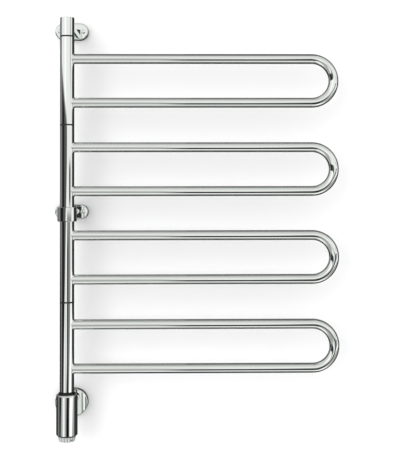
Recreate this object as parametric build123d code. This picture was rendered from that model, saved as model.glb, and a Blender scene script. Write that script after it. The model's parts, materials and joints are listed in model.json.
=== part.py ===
from build123d import *
from math import atan, cos, degrees, radians, sin, sqrt
import os

# Wall-mounted electric towel rail with four U-shaped arms that swing about one upright column.
# Millimetres. +X runs along the arms at rest, -Y is the room side, +Z is up.
# The wall is the plane Y = 0. The origin is the centre of the middle wall plate on the wall.

# Column and arms, numbered from the top
UPPER_ARMS = 2
LOWER_ARMS = 2
AXIS_TO_WALL = 80.0
COLUMN_D = 26.0
COLUMN_WALL = 1.5
TUBE_D = 18.0
TUBE_WALL = 1.2
WELD_R = 2.0
LEG_SPACING = 80.0
ARM_REACH = 495.0
END_BEYOND_LEG = 39.2
LOWEST_TAIL = 1.5

# Swivels between the column segments
RING_T = 2.6
RUN_GAP = 0.2
PIN_WALL = 4.45
PIN_REACH = 16.0
PIN_FIT = 0.05
PIN_EASE = 0.8
SEAT_FLOOR = 2.0

# Heating cable
CABLE_D = 4.5
CABLE_ROOM = 0.3
CABLE_GAP = 0.3
CORNER_ROOM = 1.2
SEAL_WALL = 1.0
SEAL_ROUND = 0.8
SEAL_L = 16.0
SEAL_FROM_AXIS = 34.0

# Wall brackets
PLATE_T = 12.0
PLATE_EDGE = 2.0
PLATE_END = 5.0
TOP_PLATE_H = 31.0
MIDDLE_PLATE_H = 27.0
SCREW_SPACING = 43.0
SCREW_HOLE_D = 5.0
SCREW_SINK = 2.0
POST_D = 20.0
POST_WALL = 4.0
POST_SCREW_D = 6.0
POST_SCREW_L = 26.0
POST_SCREW_SINK = 2.5
THREAD_FIT = 0.05
HEX_WALL = 0.7
HEX_DEPTH = 2.2

# Top holder
HOLDER_WALL = 3.0
HOLDER_HOLLOW = 7.1
CAP_T = 3.0
CAP_PLUG_L = 5.0
CAP_EDGE = 0.8
TOP_POST_UP = 19.2

# Middle collar
COLLAR_FIT = 0.3
COLLAR_WALL = 4.2
COLLAR_WEB = 1.4
COLLAR_UP = 11.2
COLLAR_DOWN = 14.6
COLLAR_TOP_EDGE = 0.7
COLLAR_FOOT_EDGE = 1.3
WEB_BELOW_POST = 1.2

# Control housing
HOUSING_MOUTH_GAP = 2.5
HOUSING_WALL = 3.8
HOUSING_RIM_LAND = 1.0
HOUSING_FOOT_LAND = 1.1
HOUSING_BELOW_TAIL = 4.9
WIRES_BELOW_SEAT = 8.7

# Bottom wall base and rosette
BASE_T = 4.0
BASE_RIM = 1.0
BOSS_WALL = 4.5
BOSS_GAP = 0.3
SOCKET_FLOOR = 2.0
GROMMET_BORE_D = 8.0
GROMMET_WALL = 2.5
GRUB_D = 4.0
ROSETTE_STRAIGHT = 10.0
ROSETTE_OVER = 4.0
ROSETTE_DEPTH = 12.0
ROSETTE_SHEET = 1.0
ROSETTE_ROUND = 2.0
ROSETTE_FIT = 0.15

# Control parts in the housing
CARRIER_T = 4.0
CARRIER_INSET = 1.6
DIAL_BODY_D = 16.0
DIAL_BODY_L = 9.0
DIAL_NECK_BELOW = 1.0
DIAL_BELOW_SWITCH = 3.4
NECK_WALL = 0.5
SHAFT_D = 6.0
SHAFT_FLAT = 1.2
SHAFT_CAP = 3.0
BOARD_T = 1.6
BOARD_OFF_DIAL = 1.2
BOARD_SIDE_GAP = 0.8
BOARD_IN_CARRIER = 2.0
BOARD_HEADROOM = 8.8
BLOCK_W = 16.0
BLOCK_H = 14.0
BLOCK_BEHIND_AXIS = 2.8
BLOCK_BELOW_EDGE = 0.6
TERMINAL_D = 3.6
TERMINAL_SPACING = 8.0
TERMINAL_L = 5.3
TERMINAL_INSET = 0.7
TERMINAL_DOWN = 4.7
SLOT_W = 0.9
SLOT_DEPTH = 0.4
SWITCH_W = 10.0
SWITCH_H = 12.0
SWITCH_T = 5.0
SWITCH_BELOW_BLOCK = 6.0
LAMP_D = 5.0
LAMP_TIP = 0.8
LAMP_INSET = 0.3
LAMP_OFF_HUB = 1.2

# Knob
KNOB_D = 32.6
KNOB_TAPER = 1.7
KNOB_H = 8.8
KNOB_GAP = 0.5
KNOB_FOOT_ROUND = 1.6
KNOB_FLUTES = 18
FLUTE_D = 4.4
FLUTE_DEPTH = 0.7
KNOB_SKIN = 2.4
HUB_WALL = 2.5
HUB_BELOW_RIM = 2.0
SHAFT_ABOVE_SKIN = 0.6
MARKER_D = 2.6
MARKER_DEPTH = 1.0
MARKER_UP = 3.6
MARKER_TURN = 39.0

# Widths that follow from the sizes
AXIS_Y = -AXIS_TO_WALL
COLUMN_R = COLUMN_D / 2
COLUMN_BORE_R = COLUMN_R - COLUMN_WALL
TUBE_R = TUBE_D / 2
TUBE_BORE_R = TUBE_R - TUBE_WALL
LEG_RISE = LEG_SPACING / 2
BEND_X = ARM_REACH - TUBE_R - LEG_RISE
CABLE_R = CABLE_D / 2
PIN_BORE_R = CABLE_R + CABLE_ROOM
PIN_R = PIN_BORE_R + PIN_WALL
PIN_MARK = PIN_REACH - PIN_EASE
BUSH_L = PIN_REACH + SEAT_FLOOR
CABLE_CORNER_R = END_BEYOND_LEG - BUSH_L - CORNER_ROOM
SCREW_HEAD_D = SCREW_HOLE_D + 2 * SCREW_SINK
PLATE_W = SCREW_SPACING + SCREW_HEAD_D + 2 * PLATE_END
POST_R = POST_D / 2
WIRE_BORE_R = POST_R - POST_WALL
HOLDER_BORE_R = COLUMN_R - HOLDER_WALL
COLLAR_BORE_R = COLUMN_R + COLLAR_FIT
COLLAR_R = COLLAR_BORE_R + COLLAR_WALL
HOUSING_BORE_R = COLUMN_R + HOUSING_MOUTH_GAP
HOUSING_R = HOUSING_BORE_R + HOUSING_WALL
BASE_W = SCREW_SPACING + SCREW_HEAD_D + 2 * BASE_RIM
BASE_H = BASE_W - ROSETTE_STRAIGHT
BASE_HOLE_R = GROMMET_BORE_D / 2 + GROMMET_WALL
BOSS_R = POST_R + BOSS_WALL
BOSS_FACE = ROSETTE_SHEET + BOSS_GAP - ROSETTE_DEPTH
GRUB_Y = (BOSS_FACE - BASE_T) / 2
ROSETTE_W = BASE_W + 2 * ROSETTE_OVER
ROSETTE_H = BASE_H + 2 * ROSETTE_OVER
SHAFT_R = SHAFT_D / 2
NECK_R = SHAFT_R + PIN_FIT + NECK_WALL
HUB_R = SHAFT_R + HUB_WALL
LAMP_X = HUB_R + LAMP_OFF_HUB + LAMP_D / 2
BOARD_BACK = AXIS_Y - DIAL_BODY_D / 2 - BOARD_OFF_DIAL
BOARD_FRONT = BOARD_BACK - BOARD_T
BOARD_HALF_W = sqrt((HOUSING_BORE_R - BOARD_SIDE_GAP) ** 2 - (AXIS_Y - BOARD_FRONT) ** 2)
BLOCK_BACK = AXIS_Y + BLOCK_BEHIND_AXIS
KNOB_R = KNOB_D / 2
KNOB_FOOT_R = KNOB_R - KNOB_TAPER
KNOB_LEAN = degrees(atan(KNOB_TAPER / KNOB_H))
MARKER_FACE_R = KNOB_FOOT_R + KNOB_TAPER * MARKER_UP / KNOB_H - FLUTE_DEPTH

# Heights that follow from the sizes
ARM_ON_WEB = UPPER_ARMS
ARM_UNDER_WEB = UPPER_ARMS + 1
LOWEST_ARM = UPPER_ARMS + LOWER_ARMS
HALF_SEGMENT = LEG_RISE + END_BEYOND_LEG
RING_JOINT = RING_T + RUN_GAP
WEB_JOINT = COLLAR_WEB + 2 * RUN_GAP
WEB_Z = -WEB_BELOW_POST
ARM_Z = {}
for arm_above in range(1, UPPER_ARMS + 1):
    lift = (UPPER_ARMS - arm_above) * (2 * HALF_SEGMENT + RING_JOINT)
    ARM_Z[arm_above] = WEB_Z + WEB_JOINT / 2 + HALF_SEGMENT + lift
for arm_below in range(ARM_UNDER_WEB, LOWEST_ARM + 1):
    drop = (arm_below - ARM_UNDER_WEB) * (2 * HALF_SEGMENT + RING_JOINT)
    ARM_Z[arm_below] = WEB_Z - WEB_JOINT / 2 - HALF_SEGMENT - drop
SEGMENT_TOP = {arm: z + HALF_SEGMENT for arm, z in ARM_Z.items()}
SEGMENT_FOOT = {arm: z - HALF_SEGMENT for arm, z in ARM_Z.items()}
SEGMENT_FOOT[LOWEST_ARM] -= LOWEST_TAIL

HOLDER_FOOT = SEGMENT_TOP[1] + RING_JOINT
CAP_FOOT = HOLDER_FOOT + BUSH_L + HOLDER_HOLLOW + CAP_PLUG_L
HOLDER_TOP = CAP_FOOT + CAP_T
TOP_POST_Z = HOLDER_FOOT + TOP_POST_UP
COLLAR_TOP = WEB_Z + COLLAR_UP
COLLAR_FOOT = WEB_Z - COLLAR_DOWN
SEAT_TOP = SEGMENT_FOOT[LOWEST_ARM] - RING_JOINT
SEAT_FOOT = SEAT_TOP - BUSH_L
HOUSING_TOP = SEGMENT_FOOT[LOWEST_ARM] - HOUSING_BELOW_TAIL
BOTTOM_POST_Z = SEAT_FOOT - WIRES_BELOW_SEAT - WIRE_BORE_R
BOARD_TOP = SEAT_FOOT - BOARD_HEADROOM
BLOCK_TOP = BOARD_TOP - BLOCK_BELOW_EDGE
TERMINAL_Z = BLOCK_TOP - TERMINAL_DOWN
SWITCH_TOP = BLOCK_TOP - BLOCK_H - SWITCH_BELOW_BLOCK
CARRIER_TOP = SWITCH_TOP - SWITCH_H - DIAL_BELOW_SWITCH - DIAL_BODY_L
CARRIER_FOOT = CARRIER_TOP - CARRIER_T
HOUSING_FOOT = CARRIER_FOOT - CARRIER_INSET
NECK_FOOT = CARRIER_FOOT - DIAL_NECK_BELOW
SHAFT_HOLE_TOP = CARRIER_TOP + DIAL_BODY_L - SHAFT_CAP
KNOB_TOP = HOUSING_FOOT - KNOB_GAP
KNOB_FOOT = KNOB_TOP - KNOB_H
HUB_TOP = KNOB_TOP - HUB_BELOW_RIM
SHAFT_FOOT = KNOB_FOOT + KNOB_SKIN + SHAFT_ABOVE_SKIN

BASE_UP = (Align.CENTER, Align.CENTER, Align.MIN)


def upright(radius, low, high, x=0.0, y=AXIS_Y):
    """Upright round bar between two heights, on the column axis unless placed elsewhere."""
    return Pos(x, y, low) * Cylinder(radius, high - low, align=BASE_UP)


def sleeve(outer_radius, inner_radius, low, high):
    """Upright tube on the column axis."""
    return upright(outer_radius, low, high) - upright(inner_radius, low, high)


def level(radius, front, back, x=0.0, z=0.0):
    """Round bar square to the wall between two distances from it."""
    return Pos(x, front, z) * Rot(-90, 0, 0) * Cylinder(radius, back - front, align=BASE_UP)


def along(radius, start, end, z):
    """Round bar that runs along an arm between two distances from the column axis."""
    return Pos(start, AXIS_Y, z) * Rot(0, 90, 0) * Cylinder(radius, end - start, align=BASE_UP)


def block(width, front, back, low, high):
    """Rectangular block centred over the column axis from side to side."""
    centre = Pos(0, (front + back) / 2, (low + high) / 2)
    return centre * Box(width, back - front, high - low)


def sink(radius, depth, face, x, z, inward):
    """Countersink for a 90 degree screw head, from a face towards the wall (1) or the room (-1)."""
    cone = Cone(radius + depth, radius, depth, align=BASE_UP)
    return Pos(x, face, z) * Rot(-90 * inward, 0, 0) * cone


def rounds(shape, axis):
    """Circular edges of a shape, in order along an axis."""
    return shape.edges().filter_by(GeomType.CIRCLE).sort_by(axis)


# Arms

def bend(z, first, last):
    """Half circle at the far end of a U between its two leg heights."""
    return ThreePointArc((BEND_X, AXIS_Y, first), (BEND_X + LEG_RISE, AXIS_Y, z), (BEND_X, AXIS_Y, last))


def welded_end(leg):
    """Coped end of a leg with the smooth weld round it where it meets the column."""
    column = upright(COLUMN_R, leg - TUBE_D, leg + TUBE_D)
    joint = column + along(TUBE_R, 0, COLUMN_D, leg)
    seam = joint.edges().filter_by(GeomType.BSPLINE)
    joint = fillet(seam, WELD_R)
    return joint - column - along(TUBE_BORE_R, 0, COLUMN_D, leg)


def arm_loop(arm):
    """Bent tube of one arm, its two ends coped to sit on the column."""
    z = ARM_Z[arm]
    high = z + LEG_RISE
    low = z - LEG_RISE
    path = Wire([
        Line((0, AXIS_Y, high), (BEND_X, AXIS_Y, high)),
        bend(z, high, low),
        Line((BEND_X, AXIS_Y, low), (0, AXIS_Y, low)),
    ])
    start = Plane(origin=(0, AXIS_Y, high), x_dir=(0, 1, 0), z_dir=(1, 0, 0))
    tube = sweep(start * (Circle(TUBE_R) - Circle(TUBE_BORE_R)), path=path)
    tube -= upright(COLUMN_R, low - TUBE_D, high + TUBE_D)
    return tube + welded_end(high) + welded_end(low)


def arm_column(arm):
    """Column segment of one arm, open into both legs."""
    segment = sleeve(COLUMN_R, COLUMN_BORE_R, SEGMENT_FOOT[arm], SEGMENT_TOP[arm])
    for z in (ARM_Z[arm] - LEG_RISE, ARM_Z[arm] + LEG_RISE):
        segment -= along(TUBE_BORE_R, 0, COLUMN_D, z)
    return segment


def end_bush(end, inward, flanged):
    """Plastic bearing in a segment's end, with or without the ring that shows between segments."""
    low, high = sorted((end, end + inward * BUSH_L))
    bush = upright(COLUMN_BORE_R, low, high)
    if flanged:
        ring_low, ring_high = sorted((end, end - inward * RING_T))
        bush += upright(COLUMN_R, ring_low, ring_high)
        low = min(low, ring_low)
        high = max(high, ring_high)
    return bush - upright(PIN_R + PIN_FIT, low, high)


def pin_seat(outer_radius, top):
    """Plug with a shouldered bore that a pivot pin stands in."""
    plug = upright(outer_radius, top - BUSH_L, top)
    plug -= upright(PIN_R, top - PIN_REACH, top)
    return plug - upright(PIN_BORE_R, top - BUSH_L, top - PIN_REACH)


def pivot_pin(low, high):
    """Hollow pin that the cable runs through, its ends eased."""
    pin = upright(PIN_R, low, high)
    pin = chamfer(rounds(pin, Axis.Z), PIN_EASE)
    return pin - upright(PIN_BORE_R, low, high)


# Heating cable

def cable_corner(leg, away):
    """Quarter bend of the cable from the column axis into a leg, coming from above (1) or below (-1)."""
    middle = CABLE_CORNER_R * (1 - sin(radians(45)))
    return ThreePointArc(
        (0, AXIS_Y, leg + away * CABLE_CORNER_R),
        (middle, AXIS_Y, leg + away * middle),
        (CABLE_CORNER_R, AXIS_Y, leg),
    )


def cable_past(joint):
    """How far a cable's end stands out of its segment, to meet the next one inside a swivel."""
    return (joint - CABLE_GAP) / 2


def heating_cable(arm):
    """Heating cable of one arm: up the column axis, round the U and on to the next arm."""
    z = ARM_Z[arm]
    low = z - LEG_RISE
    high = z + LEG_RISE
    foot = SEGMENT_FOOT[arm] - cable_past(WEB_JOINT if arm == ARM_ON_WEB else RING_JOINT)
    edges = [
        Line((0, AXIS_Y, foot), (0, AXIS_Y, low - CABLE_CORNER_R)),
        cable_corner(low, -1),
        Line((CABLE_CORNER_R, AXIS_Y, low), (BEND_X, AXIS_Y, low)),
        bend(z, low, high),
    ]
    if arm == 1:
        edges.append(Line((BEND_X, AXIS_Y, high), (SEAL_FROM_AXIS, AXIS_Y, high)))
    else:
        top = SEGMENT_TOP[arm] + cable_past(WEB_JOINT if arm == ARM_UNDER_WEB else RING_JOINT)
        edges.append(Line((BEND_X, AXIS_Y, high), (CABLE_CORNER_R, AXIS_Y, high)))
        edges.append(cable_corner(high, 1))
        edges.append(Line((0, AXIS_Y, high + CABLE_CORNER_R), (0, AXIS_Y, top)))
    start = Plane(origin=(0, AXIS_Y, foot), z_dir=(0, 0, 1))
    return sweep(start * Circle(CABLE_R), path=Wire(edges))


def cable_end_seal():
    """Shrunk cap over the free end of the cable in the top leg."""
    z = ARM_Z[1] + LEG_RISE
    start = SEAL_FROM_AXIS - SEAL_L / 2
    cap = along(CABLE_R + SEAL_WALL, start, start + SEAL_L, z)
    cap = fillet(rounds(cap, Axis.X), SEAL_ROUND)
    return cap - along(CABLE_R, SEAL_FROM_AXIS, start + SEAL_L, z)


def heating_cable_tail():
    """End of the heating cable between the lowest swivel and the terminal block."""
    return upright(CABLE_R, BLOCK_TOP, SEGMENT_FOOT[LOWEST_ARM] - cable_past(RING_JOINT) - CABLE_GAP)


# Wall brackets

def pill(width, height, depth, z):
    """Slab on the wall with straight top and bottom edges and half round ends."""
    front = Plane(origin=(0, 0, z), x_dir=(1, 0, 0), z_dir=(0, -1, 0))
    return extrude(front * SlotOverall(width, height), depth)


def room_edges(shape):
    """Edges round the face of a shape that looks into the room."""
    return shape.faces().sort_by(Axis.Y)[0].edges()


def wall_holes(thickness, z):
    """The two countersunk wall holes of a plate or base."""
    holes = []
    for x in (-SCREW_SPACING / 2, SCREW_SPACING / 2):
        holes.append(level(SCREW_HOLE_D / 2, -thickness, 0, x, z))
        holes.append(sink(SCREW_HOLE_D / 2, SCREW_SINK, -thickness, x, z, 1))
    return holes


def wall_plate(height, z):
    """Pill-shaped plate with two countersunk wall holes and a hidden screw into the post."""
    plate = pill(PLATE_W, height, PLATE_T, z)
    plate = fillet(room_edges(plate), PLATE_EDGE)
    plate -= wall_holes(PLATE_T, z)
    plate -= level(POST_SCREW_D / 2, -PLATE_T, 0, 0, z)
    return plate - sink(POST_SCREW_D / 2, POST_SCREW_SINK, 0, 0, z, -1)


def post_screw(z):
    """Countersunk socket screw from the plate's back into the post."""
    radius = POST_SCREW_D / 2 - THREAD_FIT
    screw = level(radius, -POST_SCREW_L, -POST_SCREW_SINK, 0, z)
    screw += sink(radius, POST_SCREW_SINK, 0, 0, z, -1)
    back = Plane(origin=(0, 0, z), x_dir=(1, 0, 0), z_dir=(0, -1, 0))
    return screw - extrude(back * RegularPolygon(POST_SCREW_D / 2 - HEX_WALL, 6), HEX_DEPTH)


def coped(post, seat_radius, z):
    """A post with its room end shaped to a round body on the column axis."""
    return post - upright(seat_radius, z - POST_D, z + POST_D)


def screwed_post(z, seat_radius):
    """Round post from a wall plate to the column's holder or collar."""
    post = coped(level(POST_R, AXIS_Y, -PLATE_T, 0, z), seat_radius, z)
    return post - level(POST_SCREW_D / 2, -POST_SCREW_L - THREAD_FIT, -PLATE_T, 0, z)


def top_holder():
    """Short tube over the top arm, closed by the cap."""
    return sleeve(COLUMN_R, HOLDER_BORE_R, HOLDER_FOOT, CAP_FOOT)


def top_cap():
    """Cap with a rounded rim and a plug in the holder."""
    cap = upright(COLUMN_R, CAP_FOOT, HOLDER_TOP)
    cap = fillet(rounds(cap, Axis.Z)[-1], CAP_EDGE)
    return cap + upright(HOLDER_BORE_R, CAP_FOOT - CAP_PLUG_L, CAP_FOOT)


def top_pin_carrier():
    """Plug in the holder that the top pin hangs from."""
    plug = upright(HOLDER_BORE_R, HOLDER_FOOT, HOLDER_FOOT + BUSH_L)
    return plug - upright(PIN_R, HOLDER_FOOT, HOLDER_FOOT + PIN_REACH)


def middle_collar():
    """Collar round the meeting ends of the two middle arms, with a web that carries the upper ones."""
    collar = upright(COLLAR_R, COLLAR_FOOT, COLLAR_TOP)
    collar = chamfer(rounds(collar, Axis.Z)[-1], COLLAR_TOP_EDGE)
    collar = chamfer(rounds(collar, Axis.Z)[0], COLLAR_FOOT_EDGE)
    collar -= upright(COLLAR_BORE_R, COLLAR_FOOT, WEB_Z - COLLAR_WEB / 2)
    collar -= upright(COLLAR_BORE_R, WEB_Z + COLLAR_WEB / 2, COLLAR_TOP)
    return collar - upright(PIN_R, COLLAR_FOOT, COLLAR_TOP)


# Bottom bracket and control housing

def control_housing():
    """Thick-walled housing: rounded mouth round the pin seat, bevelled foot over the knob."""
    housing = upright(HOUSING_R, HOUSING_FOOT, HOUSING_TOP)
    housing = fillet(rounds(housing, Axis.Z)[-1], HOUSING_WALL - HOUSING_RIM_LAND)
    housing = chamfer(rounds(housing, Axis.Z)[0], HOUSING_WALL - HOUSING_FOOT_LAND)
    housing -= upright(HOUSING_BORE_R, HOUSING_FOOT, HOUSING_TOP)
    return housing - level(WIRE_BORE_R, AXIS_Y, AXIS_Y + HOUSING_R, 0, BOTTOM_POST_Z)


def bottom_post():
    """Hollow post that brings the supply from the wall base into the housing."""
    z = BOTTOM_POST_Z
    post = coped(level(POST_R, AXIS_Y, -SOCKET_FLOOR, 0, z), HOUSING_R, z)
    return post - level(WIRE_BORE_R, AXIS_Y, -SOCKET_FLOOR, 0, z)


def bottom_base():
    """Wall base under the rosette: plate with two wall holes and a socket for the post."""
    z = BOTTOM_POST_Z
    base = pill(BASE_W, BASE_H, BASE_T, z)
    base += level(BOSS_R, BOSS_FACE, -BASE_T, 0, z)
    base -= level(POST_R, BOSS_FACE, -SOCKET_FLOOR, 0, z)
    base -= level(BASE_HOLE_R, -SOCKET_FLOOR, 0, 0, z)
    base -= wall_holes(BASE_T, z)
    return base - upright(GRUB_D / 2, z - BOSS_R, z - POST_R, 0, GRUB_Y)


def base_grub_screw():
    """Grub screw under the boss that clamps the post."""
    foot = BOTTOM_POST_Z - BOSS_R
    screw = upright(GRUB_D / 2 - THREAD_FIT, foot, BOTTOM_POST_Z - POST_R, 0, GRUB_Y)
    socket = Plane(origin=(0, GRUB_Y, foot), x_dir=(1, 0, 0), z_dir=(0, 0, 1))
    return screw - extrude(socket * RegularPolygon(GRUB_D / 2 - HEX_WALL, 6), HEX_DEPTH)


def cable_grommet():
    """Soft ring in the base's cable hole."""
    z = BOTTOM_POST_Z
    ring = level(BASE_HOLE_R, -SOCKET_FLOOR, 0, 0, z)
    return ring - level(GROMMET_BORE_D / 2, -SOCKET_FLOOR, 0, 0, z)


def wall_rosette():
    """Oval sheet cover over the wall base, flat-faced with a rolled edge."""
    z = BOTTOM_POST_Z
    cover = pill(ROSETTE_W, ROSETTE_H, ROSETTE_DEPTH, z)
    cover = fillet(room_edges(cover), ROSETTE_ROUND)
    inside = 2 * ROSETTE_SHEET
    hollow = pill(ROSETTE_W - inside, ROSETTE_H - inside, ROSETTE_DEPTH - ROSETTE_SHEET, z)
    hollow = fillet(room_edges(hollow), ROSETTE_ROUND - ROSETTE_SHEET)
    return cover - hollow - level(POST_R + ROSETTE_FIT, -ROSETTE_DEPTH, 0, 0, z)


# Control parts

def switch_carrier():
    """Disc near the housing's foot that holds the dial, the lamp and the board's lower edge."""
    disc = upright(HOUSING_BORE_R, CARRIER_FOOT, CARRIER_TOP)
    disc -= upright(NECK_R, CARRIER_FOOT, CARRIER_TOP)
    disc -= upright(LAMP_D / 2, CARRIER_FOOT, CARRIER_TOP, LAMP_X)
    return disc - block(2 * BOARD_HALF_W, BOARD_FRONT, BOARD_BACK, CARRIER_TOP - BOARD_IN_CARRIER, CARRIER_TOP)


def dial_body():
    """Body of the rotary control with its neck through the carrier."""
    body = upright(DIAL_BODY_D / 2, CARRIER_TOP, CARRIER_TOP + DIAL_BODY_L)
    body = chamfer(rounds(body, Axis.Z)[-1], PIN_EASE)
    body += upright(NECK_R, NECK_FOOT, CARRIER_TOP)
    return body - upright(SHAFT_R + PIN_FIT, NECK_FOOT, SHAFT_HOLE_TOP)


def shaft_flat(low, high):
    """The piece that the shaft's flat takes off a round bar."""
    return block(SHAFT_D, AXIS_Y - SHAFT_D, AXIS_Y - SHAFT_R + SHAFT_FLAT, low, high)


def dial_shaft():
    """Shaft of the rotary control, with a flat for the knob."""
    return upright(SHAFT_R, SHAFT_FOOT, SHAFT_HOLE_TOP - RUN_GAP) - shaft_flat(SHAFT_FOOT, HUB_TOP)


def control_board():
    """Circuit board standing in the carrier's slot."""
    return block(2 * BOARD_HALF_W, BOARD_FRONT, BOARD_BACK, CARRIER_TOP - BOARD_IN_CARRIER, BOARD_TOP)


def terminal_holes():
    """The places of the two terminal screws, as bars open to the block's back."""
    front = BLOCK_BACK - TERMINAL_INSET - TERMINAL_L
    return [level(TERMINAL_D / 2, front, BLOCK_BACK, side * TERMINAL_SPACING / 2, TERMINAL_Z) for side in (-1, 1)]


def terminal_block():
    """Connector on the board between the heating cable, the board and the supply."""
    return block(BLOCK_W, BOARD_BACK, BLOCK_BACK, BLOCK_TOP - BLOCK_H, BLOCK_TOP) - terminal_holes()


def terminal_screws():
    """The two slotted screws of the terminal block."""
    face = BLOCK_BACK - TERMINAL_INSET
    above = block(BLOCK_W, face, BLOCK_BACK, BLOCK_TOP - BLOCK_H, BLOCK_TOP)
    slot = block(BLOCK_W, face - SLOT_DEPTH, face, TERMINAL_Z - SLOT_W / 2, TERMINAL_Z + SLOT_W / 2)
    return Compound(children=[hole - above - slot for hole in terminal_holes()])


def power_switch():
    """Semiconductor switch that feeds the heating cable, flat against the board."""
    return block(SWITCH_W, BOARD_BACK, BOARD_BACK + SWITCH_T, SWITCH_TOP - SWITCH_H, SWITCH_TOP)


def indicator_lamp():
    """Small lamp in the carrier that lights the translucent knob."""
    lamp = upright(LAMP_D / 2, HOUSING_FOOT + LAMP_INSET, CARRIER_TOP, LAMP_X)
    return fillet(rounds(lamp, Axis.Z)[0], LAMP_D / 2 - LAMP_TIP)


# Knob

def flute():
    """Round cutter of one flute, leaning with the knob's slope."""
    return Rot(0, KNOB_LEAN, 0) * Cylinder(FLUTE_D / 2, 2 * KNOB_H)


def marker_bar():
    """Round bar across the knob's side where the pointer dot is let in."""
    bar = Pos(MARKER_FACE_R - MARKER_DEPTH, 0, 0) * Rot(0, 90, 0) * Cylinder(MARKER_D / 2, KNOB_R, align=BASE_UP)
    return Pos(0, AXIS_Y, KNOB_FOOT + MARKER_UP) * Rot(0, 0, MARKER_TURN - 90) * bar


def knob():
    """Translucent hollow knob: fluted side that narrows to a rounded foot, and a hub for the shaft."""
    body = Pos(0, AXIS_Y, KNOB_FOOT) * Cone(KNOB_FOOT_R, KNOB_R, KNOB_H, align=BASE_UP)
    body = fillet(rounds(body, Axis.Z)[0], KNOB_FOOT_ROUND)
    for place in PolarLocations(KNOB_R + (FLUTE_D / 2 - FLUTE_DEPTH) / cos(radians(KNOB_LEAN)), KNOB_FLUTES):
        body -= Pos(0, AXIS_Y, KNOB_TOP) * place * flute()
    body -= upright(KNOB_FOOT_R - KNOB_SKIN, KNOB_FOOT + KNOB_SKIN, KNOB_TOP)
    body += upright(HUB_R, KNOB_FOOT + KNOB_SKIN, HUB_TOP)
    body -= upright(SHAFT_R, SHAFT_FOOT, HUB_TOP) - shaft_flat(SHAFT_FOOT, HUB_TOP)
    return body - marker_bar()


def knob_marker():
    """Dark pointer dot, flush with the bottom of the flutes."""
    return marker_bar() & upright(MARKER_FACE_R, KNOB_FOOT, KNOB_TOP)


# Assembly

def arm_parts(arm):
    """All the pieces that swing with one arm."""
    name = f"arm_{arm}"
    top = SEGMENT_TOP[arm]
    parts = {
        f"{name}_column": arm_column(arm),
        f"{name}_loop": arm_loop(arm),
        f"{name}_heating_cable": heating_cable(arm),
        f"{name}_lower_bush": end_bush(SEGMENT_FOOT[arm], 1, flanged=arm != ARM_ON_WEB),
    }
    if arm in (1, ARM_UNDER_WEB):
        parts[f"{name}_upper_bush"] = end_bush(top, -1, flanged=arm == 1)
    else:
        parts[f"{name}_pin_seat"] = pin_seat(COLUMN_BORE_R, top)
        parts[f"{name}_pivot_pin"] = pivot_pin(top - PIN_REACH, top + RING_JOINT + PIN_MARK)
    return parts


def all_parts():
    """Every named piece of the rail."""
    parts = {}
    for arm in ARM_Z:
        parts.update(arm_parts(arm))
    parts["cable_end_seal"] = cable_end_seal()
    parts["top_wall_plate"] = wall_plate(TOP_PLATE_H, TOP_POST_Z)
    parts["top_post"] = screwed_post(TOP_POST_Z, COLUMN_R)
    parts["top_post_screw"] = post_screw(TOP_POST_Z)
    parts["top_holder"] = top_holder()
    parts["top_cap"] = top_cap()
    parts["top_pin_carrier"] = top_pin_carrier()
    parts["top_pivot_pin"] = pivot_pin(SEGMENT_TOP[1] - PIN_MARK, HOLDER_FOOT + PIN_REACH)
    parts["middle_wall_plate"] = wall_plate(MIDDLE_PLATE_H, 0)
    parts["middle_post"] = screwed_post(0, COLLAR_R)
    parts["middle_post_screw"] = post_screw(0)
    parts["middle_collar"] = middle_collar()
    parts["middle_pivot_pin"] = pivot_pin(
        SEGMENT_TOP[ARM_UNDER_WEB] - PIN_MARK, SEGMENT_FOOT[ARM_ON_WEB] + PIN_MARK
    )
    parts["bottom_base"] = bottom_base()
    parts["base_grub_screw"] = base_grub_screw()
    parts["cable_grommet"] = cable_grommet()
    parts["wall_rosette"] = wall_rosette()
    parts["bottom_post"] = bottom_post()
    parts["control_housing"] = control_housing()
    parts["housing_pin_seat"] = pin_seat(HOUSING_BORE_R, SEAT_TOP)
    parts["bottom_pivot_pin"] = pivot_pin(SEAT_TOP - PIN_REACH, SEGMENT_FOOT[LOWEST_ARM] + PIN_MARK)
    parts["heating_cable_tail"] = heating_cable_tail()
    parts["switch_carrier"] = switch_carrier()
    parts["dial_body"] = dial_body()
    parts["dial_shaft"] = dial_shaft()
    parts["control_board"] = control_board()
    parts["terminal_block"] = terminal_block()
    parts["terminal_screws"] = terminal_screws()
    parts["power_switch"] = power_switch()
    parts["indicator_lamp"] = indicator_lamp()
    parts["knob"] = knob()
    parts["knob_marker"] = knob_marker()
    return parts


os.makedirs("parts", exist_ok=True)
for node, shape in all_parts().items():
    export_step(shape, f"parts/{node}.step")
    print(node, round(shape.volume))
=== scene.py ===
"""Looks of a wall-mounted electric towel rail with swinging arms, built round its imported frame."""

from __future__ import annotations

import json
import logging
import math
from dataclasses import dataclass
from enum import Enum

import bmesh
import bpy
from mathutils import Matrix, Vector

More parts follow.
